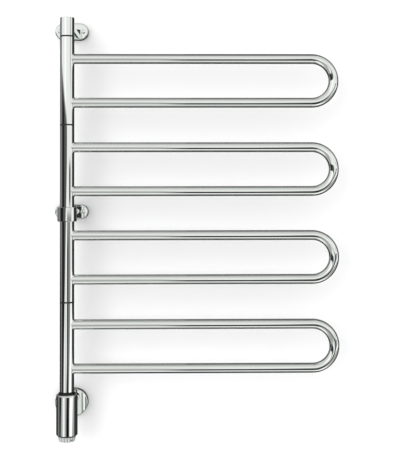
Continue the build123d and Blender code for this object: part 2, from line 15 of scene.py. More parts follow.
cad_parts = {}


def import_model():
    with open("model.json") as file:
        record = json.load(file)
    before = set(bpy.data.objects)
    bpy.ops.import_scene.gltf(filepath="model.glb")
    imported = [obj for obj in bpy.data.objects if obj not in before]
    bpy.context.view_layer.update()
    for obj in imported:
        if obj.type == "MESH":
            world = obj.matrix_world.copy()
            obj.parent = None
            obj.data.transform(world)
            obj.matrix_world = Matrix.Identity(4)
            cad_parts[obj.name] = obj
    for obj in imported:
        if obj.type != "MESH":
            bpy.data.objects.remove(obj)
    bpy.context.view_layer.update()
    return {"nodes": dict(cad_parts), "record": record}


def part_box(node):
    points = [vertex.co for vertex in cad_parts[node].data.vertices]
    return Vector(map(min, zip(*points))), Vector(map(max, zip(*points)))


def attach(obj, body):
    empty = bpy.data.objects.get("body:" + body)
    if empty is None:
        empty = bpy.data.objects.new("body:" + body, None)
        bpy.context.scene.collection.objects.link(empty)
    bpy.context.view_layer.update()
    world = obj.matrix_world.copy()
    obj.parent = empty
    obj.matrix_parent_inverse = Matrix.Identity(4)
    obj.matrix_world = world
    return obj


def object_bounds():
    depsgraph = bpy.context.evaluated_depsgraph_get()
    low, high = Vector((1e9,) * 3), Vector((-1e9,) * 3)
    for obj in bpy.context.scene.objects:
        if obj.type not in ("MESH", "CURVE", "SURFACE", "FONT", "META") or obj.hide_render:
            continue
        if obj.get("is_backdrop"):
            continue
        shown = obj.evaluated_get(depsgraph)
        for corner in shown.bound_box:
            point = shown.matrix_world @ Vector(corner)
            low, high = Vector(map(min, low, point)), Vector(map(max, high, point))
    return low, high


LOG = logging.getLogger("towel_rail")
MM = 0.001
SHARP_ANGLE = math.radians(34.0)
WELD_DISTANCE = 1e-7
FILLED_IN = "filled_in"
# A ray's depth is a whole number, so these tell at least one and at least two bounces from fewer.
ONE_BOUNCE = 0.5
TWO_BOUNCES = 1.5

Point = tuple[float, float, float]
Color = tuple[float, float, float]


class Side(Enum):
    """Side of a wall plate as seen from the room, with its sign along X."""

    LEFT = -1
    RIGHT = 1


# Node graphs


class Graph:
    """Short hand for making and joining the nodes of one tree."""

    def __init__(self, tree: bpy.types.NodeTree) -> None:
        """Keep the tree.

        Args:
            tree: The node tree that the nodes go into.
        """
        self.tree = tree

    def node(self, kind: str, **settings: object) -> bpy.types.Node:
        """Make one node.

        Args:
            kind: Blender's name for the kind of node.
            **settings: Attributes to set on it.

        Returns:
            The new node.
        """
        made = self.tree.nodes.new(kind)
        for name, value in settings.items():
            setattr(made, name, value)
        return made

    def join(self, source: object, target: bpy.types.NodeSocket) -> None:
        """Link a socket to another, or set a plain value on it.

        Args:
            source: An output socket or a value.
            target: The input socket.
        """
        if isinstance(source, bpy.types.NodeSocket):
            self.tree.links.new(source, target)
        else:
            target.default_value = source

    def math(self, operation: str, *values: object, clamp: bool = False) -> bpy.types.NodeSocket:
        """Calculate with sockets or numbers.

        Args:
            operation: Blender's name of the calculation.
            *values: One to three inputs.
            clamp: Whether the result is held between 0 and 1.

        Returns:
            The result's socket.
        """
        made = self.node("ShaderNodeMath", operation=operation, use_clamp=clamp)
        for socket, value in zip(made.inputs, values):
            self.join(value, socket)
        return made.outputs[0]

    def smooth(self, value: object, low: object, high: object) -> bpy.types.NodeSocket:
        """Rise smoothly from 0 to 1 between two bounds.

        Args:
            value: What is compared.
            low: Where the rise starts.
            high: Where it ends.

        Returns:
            The result's socket.
        """
        made = self.node("ShaderNodeMapRange", interpolation_type="SMOOTHSTEP")
        for name, source in (("Value", value), ("From Min", low), ("From Max", high)):
            self.join(source, made.inputs[name])
        return made.outputs[0]

    def span(self, value: object, low: float, high: float) -> bpy.types.NodeSocket:
        """Spread a 0 to 1 value over a range.

        Args:
            value: The 0 to 1 value.
            low: Result at 0.
            high: Result at 1.

        Returns:
            The result's socket.
        """
        made = self.node("ShaderNodeMapRange")
        self.join(value, made.inputs["Value"])
        made.inputs["To Min"].default_value = low
        made.inputs["To Max"].default_value = high
        return made.outputs[0]

    def blend(self, mask: object, first: object, second: object) -> bpy.types.NodeSocket:
        """Mix two colours.

        Args:
            mask: 0 gives the first, 1 the second.
            first: A colour or socket.
            second: A colour or socket.

        Returns:
            The colour's socket.
        """
        made = self.node("ShaderNodeMix", data_type="RGBA")
        self.join(mask, made.inputs["Factor"])
        colours = [socket for socket in made.inputs if socket.type == "RGBA"]
        self.join(first, colours[0])
        self.join(second, colours[1])
        return next(socket for socket in made.outputs if socket.type == "RGBA")

    def noise(
        self, vector: object, scale: object, detail: float = 3.0, rough: float = 0.5
    ) -> bpy.types.NodeSocket:
        """Fractal noise.

        Args:
            vector: Coordinates.
            scale: Features per metre.
            detail: Octaves.
            rough: Share of the finer octaves.

        Returns:
            The noise value's socket.
        """
        made = self.node("ShaderNodeTexNoise")
        self.join(vector, made.inputs["Vector"])
        self.join(scale, made.inputs["Scale"])
        made.inputs["Detail"].default_value = detail
        made.inputs["Roughness"].default_value = rough
        return made.outputs[0]


def rgba(color: Color) -> tuple[float, float, float, float]:
    """Add full opacity to a colour."""
    return (*color, 1.0)


@dataclass(frozen=True)
class EffectSocket:
    """One input or output of a shared effect."""

    name: str
    kind: str = "NodeSocketFloat"
    value: float | None = None
    output: bool = False


class Effect:
    """A shader effect that several finishes share, kept as a node group."""

    name = ""
    sockets: tuple[EffectSocket, ...] = ()

    def group(self) -> bpy.types.NodeTree:
        """Give the effect's node group, made the first time it is asked for.

        Returns:
            The node group.
        """
        known = bpy.data.node_groups.get(self.name)
        if known:
            return known
        tree = bpy.data.node_groups.new(self.name, "ShaderNodeTree")
        for socket in self.sockets:
            side = "OUTPUT" if socket.output else "INPUT"
            made = tree.interface.new_socket(socket.name, in_out=side, socket_type=socket.kind)
            if socket.value is not None:
                made.default_value = socket.value
        graph = Graph(tree)
        self.fill(graph, graph.node("NodeGroupInput"), graph.node("NodeGroupOutput"))
        return tree

    def fill(self, graph: Graph, given: bpy.types.Node, result: bpy.types.Node) -> None:
        """Build the inside of the group.

        Args:
            graph: The group's graph.
            given: Its input node.
            result: Its output node.
        """
        raise NotImplementedError

    def place(self, graph: Graph, **values: object) -> bpy.types.Node:
        """Use the effect in a material.

        Args:
            graph: The material's graph.
            **values: Inputs, with underscores for spaces in their names.

        Returns:
            The group node.
        """
        made = graph.node("ShaderNodeGroup", node_tree=self.group())
        for name, value in values.items():
            graph.join(value, made.inputs[name.replace("_", " ")])
        return made


class HandlingMarks(Effect):
    """Faint wiped streaks and the outlines of dried drops on a polished surface."""

    name = "handling_marks"
    streak_detail = 4.0
    streak_rough = 0.6
    streak_bounds = (0.42, 0.72)
    drop_detail = 1.0
    drops_per_streak = 6.0
    drop_outline = 0.12
    drop_bounds = (0.62, 0.72)
    drop_share = 0.5
    height_share = 0.5
    sockets = (
        EffectSocket("Vector", "NodeSocketVector"),
        EffectSocket("Scale", value=30.0),
        EffectSocket("Stretch", value=4.0),
        EffectSocket("Mask", output=True),
        EffectSocket("Height", output=True),
    )

    def fill(self, graph: Graph, given: bpy.types.Node, result: bpy.types.Node) -> None:
        """Mix stretched noise with thin outlines that show only here and there.

        Args:
            graph: The group's graph.
            given: Its input node.
            result: Its output node.
        """
        vector, scale = given.outputs["Vector"], given.outputs["Scale"]
        stretch = graph.node("ShaderNodeCombineXYZ")
        stretch.inputs[0].default_value = 1.0
        stretch.inputs[1].default_value = 1.0
        graph.join(given.outputs["Stretch"], stretch.inputs[2])
        along = graph.node("ShaderNodeVectorMath", operation="MULTIPLY")
        graph.join(vector, along.inputs[0])
        graph.join(stretch.outputs[0], along.inputs[1])
        wiped = graph.noise(along.outputs[0], scale, self.streak_detail, self.streak_rough)
        drops = graph.node("ShaderNodeTexVoronoi", feature="DISTANCE_TO_EDGE")
        graph.join(vector, drops.inputs["Vector"])
        graph.join(graph.math("MULTIPLY", scale, self.drops_per_streak), drops.inputs["Scale"])
        away = graph.smooth(drops.outputs["Distance"], 0.0, self.drop_outline)
        outline = graph.math("SUBTRACT", 1.0, away)
        sparse = graph.smooth(graph.noise(vector, scale, self.drop_detail), *self.drop_bounds)
        dried = graph.math("MULTIPLY", outline, sparse)
        streaks = graph.smooth(wiped, *self.streak_bounds)
        faint = graph.math("MULTIPLY", dried, self.drop_share)
        graph.join(graph.math("ADD", streaks, faint, clamp=True), result.inputs["Mask"])
        graph.join(graph.math("MULTIPLY", wiped, self.height_share), result.inputs["Height"])


class TurningMarks(Effect):
    """Fine rings that a lathe leaves one above another on an upright turned piece."""

    name = "turning_marks"
    unevenness = 0.4
    sockets = (
        EffectSocket("Vector", "NodeSocketVector"),
        EffectSocket("Rings", value=1200.0),
        EffectSocket("Mask", output=True),
    )

    def fill(self, graph: Graph, given: bpy.types.Node, result: bpy.types.Node) -> None:
        """Wave bands along the height, slightly uneven.

        Args:
            graph: The group's graph.
            given: Its input node.
            result: Its output node.
        """
        bands = graph.node("ShaderNodeTexWave", bands_direction="Z")
        graph.join(given.outputs["Vector"], bands.inputs["Vector"])
        graph.join(given.outputs["Rings"], bands.inputs["Scale"])
        bands.inputs["Distortion"].default_value = self.unevenness
        graph.join(bands.outputs["Fac"], result.inputs["Mask"])


class Moulding(Effect):
    """Fine spark-eroded grain of a moulded surface with slow changes of shade."""

    name = "moulding_grain"
    grain_detail = 2.0
    shade_scale = 60.0
    shade_detail = 3.0
    sockets = (
        EffectSocket("Vector", "NodeSocketVector"),
        EffectSocket("Grain", value=2500.0),
        EffectSocket("Height", output=True),
        EffectSocket("Shade", output=True),
    )

    def fill(self, graph: Graph, given: bpy.types.Node, result: bpy.types.Node) -> None:
        """Mix fine and coarse noise.

        Args:
            graph: The group's graph.
            given: Its input node.
            result: Its output node.
        """
        vector = given.outputs["Vector"]
        grain = graph.noise(vector, given.outputs["Grain"], self.grain_detail)
        graph.join(grain, result.inputs["Height"])
        shade = graph.noise(vector, self.shade_scale, self.shade_detail)
        graph.join(shade, result.inputs["Shade"])


class StudioPanel(Effect):
    """A soft-edged window of the studio's surroundings, by azimuth and elevation in degrees."""

    name = "studio_panel"
    sockets = (
        EffectSocket("Azimuth"),
        EffectSocket("Elevation"),
        EffectSocket("Centre azimuth", value=0.0),
        EffectSocket("Half width", value=20.0),
        EffectSocket("Centre elevation", value=0.0),
        EffectSocket("Half height", value=20.0),
        EffectSocket("Slope", value=0.0),
        EffectSocket("Spread", value=0.0),
        EffectSocket("Feather", value=5.0),
        EffectSocket("Softness", value=5.0),
        EffectSocket("Mask", output=True),
    )

    def fill(self, graph: Graph, given: bpy.types.Node, result: bpy.types.Node) -> None:
        """Multiply a smooth window across with one up and down, which may lean and widen sideways.

        Args:
            graph: The group's graph.
            given: Its input node.
            result: Its output node.
        """
        sockets = given.outputs
        across = graph.math("SUBTRACT", sockets["Azimuth"], sockets["Centre azimuth"])
        centre = graph.math("MULTIPLY_ADD", across, sockets["Slope"], sockets["Centre elevation"])
        half_height = graph.math("MULTIPLY_ADD", across, sockets["Spread"], sockets["Half height"])
        upward = graph.math("SUBTRACT", sockets["Elevation"], centre)
        inside_width = self.inside(graph, across, sockets["Half width"], sockets["Feather"])
        inside_height = self.inside(graph, upward, half_height, sockets["Softness"])
        graph.join(graph.math("MULTIPLY", inside_width, inside_height), result.inputs["Mask"])

    def inside(self, graph: Graph, away: object, half: object, feather: object) -> bpy.types.NodeSocket:
        """Give 1 within a half width of the centre and 0 beyond the feather.

        Args:
            graph: The group's graph.
            away: Signed distance from the centre.
            half: Half width.
            feather: Width of the soft edge.

        Returns:
            The mask's socket.
        """
        near = graph.math("SUBTRACT", half, graph.math("MULTIPLY", feather, 0.5))
        far = graph.math("MULTIPLY_ADD", feather, 0.5, half)
        return graph.math("SUBTRACT", 1.0, graph.smooth(graph.math("ABSOLUTE", away), near, far))


# Finishes


@dataclass(frozen=True)
class Finish:
    """A finish: colour, gloss and a relief in metres. Each kind adds its own surface detail."""

    name: str
    color: Color
    roughness: float = 0.4
    metallic: float = 0.0
    bump: float = 0.0
    relief: float = 0.00002

    def material(self) -> bpy.types.Material:
        """Give the finish's material, filled in the first time it is asked for.

        The frame brings plain materials under the record's slot names, and those are filled in too.

        Returns:
            The material.
        """
        made = bpy.data.materials.get(self.name) or bpy.data.materials.new(self.name)
        if made.get(FILLED_IN):
            return made
        made[FILLED_IN] = True
        made.use_nodes = True
        made.node_tree.nodes.clear()
        graph = Graph(made.node_tree)
        shader = graph.node("ShaderNodeBsdfPrincipled")
        shader.inputs["Base Color"].default_value = rgba(self.color)
        shader.inputs["Roughness"].default_value = self.roughness
        shader.inputs["Metallic"].default_value = self.metallic
        made.diffuse_color = rgba(self.color)
        vector = graph.node("ShaderNodeTexCoord").outputs["Object"]
        self.detail(graph, shader, vector)
        graph.join(shader.outputs[0], graph.node("ShaderNodeOutputMaterial").inputs["Surface"])
        return made

    def detail(self, graph: Graph, shader: bpy.types.Node, vector: bpy.types.NodeSocket) -> None:
        """Add what tells this finish from a flat colour.

        Args:
            graph: The material's graph.
            shader: Its Principled shader.
            vector: The texture coordinates.
        """
        raise NotImplementedError

    def raise_height(self, graph: Graph, shader: bpy.types.Node, height: object) -> None:
        """Feed a height to the shader's normal, as deep as the finish's relief.

        Args:
            graph: The material's graph.
            shader: Its Principled shader.
            height: The height's socket.
        """
        bump = graph.node("ShaderNodeBump")
        bump.inputs["Strength"].default_value = self.bump
        bump.inputs["Distance"].default_value = self.relief
        graph.join(height, bump.inputs["Height"])
        graph.join(bump.outputs[0], shader.inputs["Normal"])

    def toned(self, tone: float) -> tuple[float, float, float, float]:
        """Give the finish's colour at a share of its brightness."""
        return rgba(tuple(channel * tone for channel in self.color))


@dataclass(frozen=True)
class PolishedMetal(Finish):
    """Bright plated or polished metal with faint wiping marks."""

    smudge: float = 0.035
    mark_scale: float = 26.0
    mark_stretch: float = 0.35
    dull_tone: float = 0.985

    def detail(self, graph: Graph, shader: bpy.types.Node, vector: bpy.types.NodeSocket) -> None:
        """Vary the gloss and shade where the surface was wiped.

        Args:
            graph: The material's graph.
            shader: Its Principled shader.
            vector: The texture coordinates.
        """
        marks = HandlingMarks().place(
            graph, Vector=vector, Scale=self.mark_scale, Stretch=self.mark_stretch
        )
        mask = marks.outputs["Mask"]
        rough = graph.span(mask, self.roughness, self.roughness + self.smudge)
        graph.join(rough, shader.inputs["Roughness"])
        shade = graph.blend(mask, rgba(self.color), self.toned(self.dull_tone))
        graph.join(shade, shader.inputs["Base Color"])
        self.raise_height(graph, shader, marks.outputs["Height"])


@dataclass(frozen=True)
class TurnedMetal(Finish):
    """Lathe-turned steel."""

    rings: float = 900.0
    ring_roughness: float = 0.12
    ring_tone: float = 0.82

    def detail(self, graph: Graph, shader: bpy.types.Node, vector: bpy.types.NodeSocket) -> None:
        """Put lathe rings into the gloss and relief.

        Args:
            graph: The material's graph.
            shader: Its Principled shader.
            vector: The texture coordinates.
        """
        rings = TurningMarks().place(graph, Vector=vector, Rings=self.rings).outputs["Mask"]
        rough = graph.span(rings, self.roughness, self.roughness + self.ring_roughness)
        graph.join(rough, shader.inputs["Roughness"])
        shade = graph.blend(rings, rgba(self.color), self.toned(self.ring_tone))
        graph.join(shade, shader.inputs["Base Color"])
        self.raise_height(graph, shader, rings)


@dataclass(frozen=True)
class PlatedSteel(Finish):
    """Zinc plating with a soft spangle."""

    grains: float = 400.0
    shade_scale: float = 70.0
    shade_detail: float = 1.0
    tint: Color = (0.78, 0.82, 0.9)
    smoother: float = 0.08
    rougher: float = 0.1

    def detail(self, graph: Graph, shader: bpy.types.Node, vector: bpy.types.NodeSocket) -> None:
        """Shade the grains of the plating.

        Args:
            graph: The material's graph.
            shader: Its Principled shader.
            vector: The texture coordinates.
        """
        grains = graph.node("ShaderNodeTexVoronoi")
        graph.join(vector, grains.inputs["Vector"])
        grains.inputs["Scale"].default_value = self.grains
        shade = graph.noise(grains.outputs["Position"], self.shade_scale, self.shade_detail)
        blue = tuple(channel * tone for channel, tone in zip(self.color, self.tint))
        graph.join(graph.blend(shade, rgba(self.color), rgba(blue)), shader.inputs["Base Color"])
        rough = graph.span(shade, self.roughness - self.smoother, self.roughness + self.rougher)
        graph.join(rough, shader.inputs["Roughness"])
        self.raise_height(graph, shader, grains.outputs["Distance"])


@dataclass(frozen=True)
class MouldedPlastic(Finish):
    """Moulded plastic or rubber with a fine grain."""

    relief: float = 0.00003
    grain: float = 2200.0
    transmission: float = 0.0
    coat: float = 0.0
    deep_tone: float = 0.8
    gloss_change: float = 0.06

    def detail(self, graph: Graph, shader: bpy.types.Node, vector: bpy.types.NodeSocket) -> None:
        """Add the mould's grain and slow changes of shade.

        Args:
            graph: The material's graph.
            shader: Its Principled shader.
            vector: The texture coordinates.
        """
        grain = Moulding().place(graph, Vector=vector, Grain=self.grain)
        shade = grain.outputs["Shade"]
        color = graph.blend(shade, rgba(self.color), self.toned(self.deep_tone))
        graph.join(color, shader.inputs["Base Color"])
        low, high = self.roughness - self.gloss_change, self.roughness + self.gloss_change
        graph.join(graph.span(shade, low, high), shader.inputs["Roughness"])
        shader.inputs["Transmission Weight"].default_value = self.transmission
        shader.inputs["Coat Weight"].default_value = self.coat
        self.raise_height(graph, shader, grain.outputs["Height"])


@dataclass(frozen=True)
class FlutedPlastic(MouldedPlastic):
    """Moulded plastic with painted shade at the bottom of the flutes round the column's axis."""

    flutes: int = 18
    axis_y: float = -80.0 * MM
    flute_shade_tone: float = 0.45
    shade_bounds: tuple[float, float] = (0.1, 0.9)

    def detail(self, graph: Graph, shader: bpy.types.Node, vector: bpy.types.NodeSocket) -> None:
        """Paint shade into the bottom of each flute, over the mould's grain.

        Args:
            graph: The material's graph.
            shader: Its Principled shader.
            vector: The texture coordinates.
        """
        super().detail(graph, shader, vector)
        plain = shader.inputs["Base Color"].links[0].from_socket
        parts = graph.node("ShaderNodeSeparateXYZ")
        graph.join(vector, parts.inputs[0])
        behind = graph.math("SUBTRACT", parts.outputs[1], self.axis_y)
        turn = graph.math("ARCTAN2", behind, parts.outputs[0])
        wave = graph.math("COSINE", graph.math("MULTIPLY", turn, float(self.flutes)))
        # Painted shade: the colour darkens towards the bottom of each flute, where shade falls.
        painted_flute_shade = graph.smooth(wave, *self.shade_bounds)
        color = graph.blend(painted_flute_shade, plain, self.toned(self.flute_shade_tone))
        graph.join(color, shader.inputs["Base Color"])


@dataclass(frozen=True)
class CircuitBoard(Finish):
    """Solder mask over copper tracks."""

    relief: float = 0.00004
    track: Color = (0.05, 0.27, 0.11)
    track_scale: float = 260.0
    track_bounds: tuple[float, float] = (0.3, 0.34)
    track_roughness: float = 0.1

    def detail(self, graph: Graph, shader: bpy.types.Node, vector: bpy.types.NodeSocket) -> None:
        """Show square-cornered tracks under the mask.

        Args:
            graph: The material's graph.
            shader: Its Principled shader.
            vector: The texture coordinates.
        """
        cells = graph.node("ShaderNodeTexVoronoi", distance="CHEBYCHEV", feature="F1")
        graph.join(vector, cells.inputs["Vector"])
        cells.inputs["Scale"].default_value = self.track_scale
        tracks = graph.smooth(cells.outputs["Distance"], *self.track_bounds)
        color = graph.blend(tracks, rgba(self.color), rgba(self.track))
        graph.join(color, shader.inputs["Base Color"])
        rough = graph.span(tracks, self.roughness, self.roughness + self.track_roughness)
        graph.join(rough, shader.inputs["Roughness"])
        self.raise_height(graph, shader, tracks)


CHROME = PolishedMetal("chrome", (0.905, 0.935, 0.905), 0.02, 1.0, 0.02, smudge=0.015)
BLACK_POLYMER = MouldedPlastic("black_polymer", (0.012, 0.012, 0.012), 0.42, bump=0.25)
TURNED_STEEL = TurnedMetal("turned_steel", (0.55, 0.55, 0.54), 0.28, 1.0, 0.3)
SCREW_STEEL = PolishedMetal("screw_steel", (0.95, 0.96, 0.95), 0.12, 1.0, 0.12, mark_scale=120.0)
ZINC_PLATE = PlatedSteel("zinc_plate", (0.60, 0.61, 0.62), 0.38, 1.0, 0.2)
CABLE_JACKET = MouldedPlastic("cable_jacket", (0.45, 0.06, 0.02), 0.5, bump=0.2, grain=1500.0)
SOFT_BLACK = MouldedPlastic("soft_black", (0.02, 0.02, 0.02), 0.62, bump=0.3, grain=1200.0)
BOARD_GREEN = CircuitBoard("board_green", (0.02, 0.13, 0.05), 0.35, bump=0.2)
TERMINAL_PLASTIC = MouldedPlastic("terminal_plastic", (0.72, 0.72, 0.68), 0.45, bump=0.2)
LAMP_LENS = MouldedPlastic("lamp_lens", (0.8, 0.10, 0.06), 0.12, bump=0.02, transmission=0.6)
KNOB_PLASTIC = FlutedPlastic("knob_plastic", (0.58, 0.61, 0.59), 0.2, bump=0.05, coat=0.3)
MARKER_INK = MouldedPlastic("marker_ink", (0.03, 0.03, 0.03), 0.5, bump=0.2)
FINISHES = {
    finish.name: finish
    for finish in (
        CHROME, BLACK_POLYMER, TURNED_STEEL, SCREW_STEEL, ZINC_PLATE, CABLE_JACKET, SOFT_BLACK,
        BOARD_GREEN, TERMINAL_PLASTIC, LAMP_LENS, KNOB_PLASTIC, MARKER_INK,
    )
}


# Meshes


class Draft:
    """Points and faces of a piece while it is drawn, in metres."""

    def __init__(self) -> None:
        """Start with nothing drawn."""
        self.points: list[Point] = []
        self.faces: list[tuple[int, ...]] = []

    def loop(self, points: list[Point]) -> list[int]:
        """Add points and give their numbers.

        Args:
            points: The points, in order.

        Returns:
            Their indices.
        """
        start = len(self.points)
        self.points.extend(points)
        return list(range(start, start + len(points)))

    def bridge(self, first: list[int], second: list[int]) -> None:
        """Join two closed loops of the same count by quads.

        Args:
            first: Indices of one loop.
            second: Indices of the next.
        """
        count = len(first)
        for i in range(count):
            j = (i + 1) % count
            self.faces.append((first[i], first[j], second[j], second[i]))

    def piece(self, name: str, finish: Finish, body: str) -> bpy.types.Object:
        """Turn the draft into an object that rides on a body.

        Args:
            name: Name of the piece.
            finish: What it is made of.
            body: The body that it moves with.

        Returns:
            The new object.
        """
        mesh = bpy.data.meshes.new(name)
        mesh.from_pydata(self.points, [], self.faces)
        work = bmesh.new()
        work.from_mesh(mesh)
        bmesh.ops.remove_doubles(work, verts=work.verts, dist=WELD_DISTANCE)
        bmesh.ops.recalc_face_normals(work, faces=work.faces)
        work.to_mesh(mesh)
        work.free()
        mesh.polygons.foreach_set("use_smooth", [True] * len(mesh.polygons))
        mesh.set_sharp_from_angle(angle=SHARP_ANGLE)
        mesh.materials.append(finish.material())
        made = bpy.data.objects.new(name, mesh)
        bpy.context.scene.collection.objects.link(made)
        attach(made, body)
        return made


def dress_frame(frame: dict) -> None:
    """Give every carried-over node the finish of its record slot.
    """
    slots = {row["node"]: row["material_slot"] for row in frame["record"]["subparts"]}
    for name, node in frame["nodes"].items():
        node.data.materials.clear()
        node.data.materials.append(FINISHES[slots[name]].material())
        LOG.info("dressed %s in %s", name, slots[name])


# Wall screws


@dataclass
class WallScrews:
    """Domed cross-head screws in the two visible wall plates."""

    plates: tuple[tuple[str, str], ...] = (("top", "top_wall_plate"), ("middle", "middle_wall_plate"))
    spacing: float = 43.0 * MM
    head_radius: float = 4.35 * MM
    shank_radius: float = 2.2 * MM
    head_depth: float = 2.0 * MM
    below_face: float = 0.35 * MM
    dome: float = 0.9 * MM
    dome_steps: int = 6
    recess_reach: float = 1.9 * MM
    recess_margin: float = 0.1 * MM
    recess_width: float = 0.9 * MM
    recess_depth: float = 1.5 * MM
    recess_taper: float = 0.55
    turn_apart: float = 18.0
    turn_both: float = 7.0
    segments: int = 48

    def ring(self, centre: Vector, radius: float, depth: float) -> list[Point]:
        """Points of a circle parallel to the wall.

        Args:
            centre: Middle of the screw's face.
            radius: Radius of the circle.
            depth: Distance behind the face.

        Returns:
            The points.
        """
        made = []
        for i in range(self.segments):
            turn = math.tau * i / self.segments
            across, upward = radius * math.cos(turn), radius * math.sin(turn)
            made.append((centre.x + across, centre.y + depth, centre.z + upward))
        return made

    def cross(self, centre: Vector, scale: float, depth: float, turn: float) -> list[Point]:
        """Outline of the driver's cross.

        Args:
            centre: Middle of the screw's face.
            scale: 1 at the face, less at the recess's floor.
            depth: Distance behind the face.
            turn: How far the screw was turned, in radians.

        Returns:
            The twelve corners.
        """
        reach = self.recess_reach * scale
        half = self.recess_width / 2 * scale
        quarter = [(reach, -half), (reach, half), (half, half)]
        made = []
        for step in range(4):
            angle = turn + step * math.pi / 2
            for x, z in quarter:
                made.append((
                    centre.x + x * math.cos(angle) - z * math.sin(angle),
                    centre.y + depth,
                    centre.z + x * math.sin(angle) + z * math.cos(angle),
                ))
        return made

    def screw(self, name: str, centre: Vector, turn: float, back: float) -> bpy.types.Object:
        """Draw one screw from its head to the wall plane.

        Args:
            name: Name of the piece.
            centre: Middle of the plate's hole, on its room face.
            turn: How far the screw was turned, in radians.
            back: The wall plane's Y.

        Returns:
            The screw.
        """
        draft = Draft()
        face = Vector((centre.x, centre.y + self.below_face, centre.z))
        flat = self.recess_reach + self.recess_margin
        rings = []
        for step in range(self.dome_steps + 1):
            radius = flat + (self.head_radius - flat) * step / self.dome_steps
            rings.append(draft.loop(self.ring(face, radius, self.dome_fall(radius) - self.dome)))
        rings.append(draft.loop(self.ring(face, self.shank_radius, self.head_depth)))
        rings.append(draft.loop(self.ring(face, self.shank_radius, back - face.y)))
        for first, second in zip(rings, rings[1:]):
            draft.bridge(first, second)
        draft.faces.append(tuple(rings[-1]))
        top = self.dome_fall(flat) - self.dome
        mouth = draft.loop(self.cross(face, 1.0, top, turn))
        floor = draft.loop(self.cross(face, self.recess_taper, top + self.recess_depth, turn))
        draft.bridge(mouth, floor)
        draft.faces.append(tuple(floor))
        self.face_round_cross(draft, rings[0], mouth)
        return draft.piece(name, SCREW_STEEL, "wall_frame")

    def dome_fall(self, radius: float) -> float:
        """Say how far the dome lies behind its crown.

        Args:
            radius: Distance from the screw's axis.

        Returns:
            The depth in metres.
        """
        ball = (self.head_radius ** 2 + self.dome ** 2) / (2 * self.dome)
        return ball - math.sqrt(ball ** 2 - radius ** 2)

    def face_round_cross(self, draft: Draft, edge: list[int], mouth: list[int]) -> None:
        """Fill the flat crown between the dome's innermost ring and the cross.

        Args:
            draft: The screw's draft.
            edge: Indices of that ring.
            mouth: Indices of the cross.
        """
        work = bmesh.new()
        verts = {index: work.verts.new(draft.points[index]) for index in (*edge, *mouth)}
        for outline in (edge, mouth):
            for first, second in zip(outline, (*outline[1:], outline[0])):
                work.edges.new((verts[first], verts[second]))
        bmesh.ops.triangle_fill(work, use_beauty=True, edges=work.edges[:])
        numbers = {vert: index for index, vert in verts.items()}
        for made in work.faces:
            draft.faces.append(tuple(numbers[vert] for vert in made.verts))
        work.free()

    def build(self) -> list[bpy.types.Object]:
        """Make the four screws.

        Returns:
            The screws.
        """
        made = []
        for place, node in self.plates:
            low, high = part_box(node)
            middle = (Vector(low) + Vector(high)) / 2
            for side in Side:
                centre = Vector((middle.x + side.value * self.spacing / 2, low[1], middle.z))
                turn = math.radians(self.turn_apart * side.value + self.turn_both)
                name = f"{place}_wall_screw_{side.name.lower()}"
                made.append(self.screw(name, centre, turn, high[1]))
        return made


# Studio


@dataclass(frozen=True)
class Panel:
    """One soft-edged area of the studio that the chrome reflects, in degrees."""

    azimuth: float
    half_width: float
    elevation: float
    half_height: float
    level: float
    feather: float = 8.0
    softness: float = 3.0
    slope: float = 0.0
    spread: float = 0.0
    both_sides: bool = False


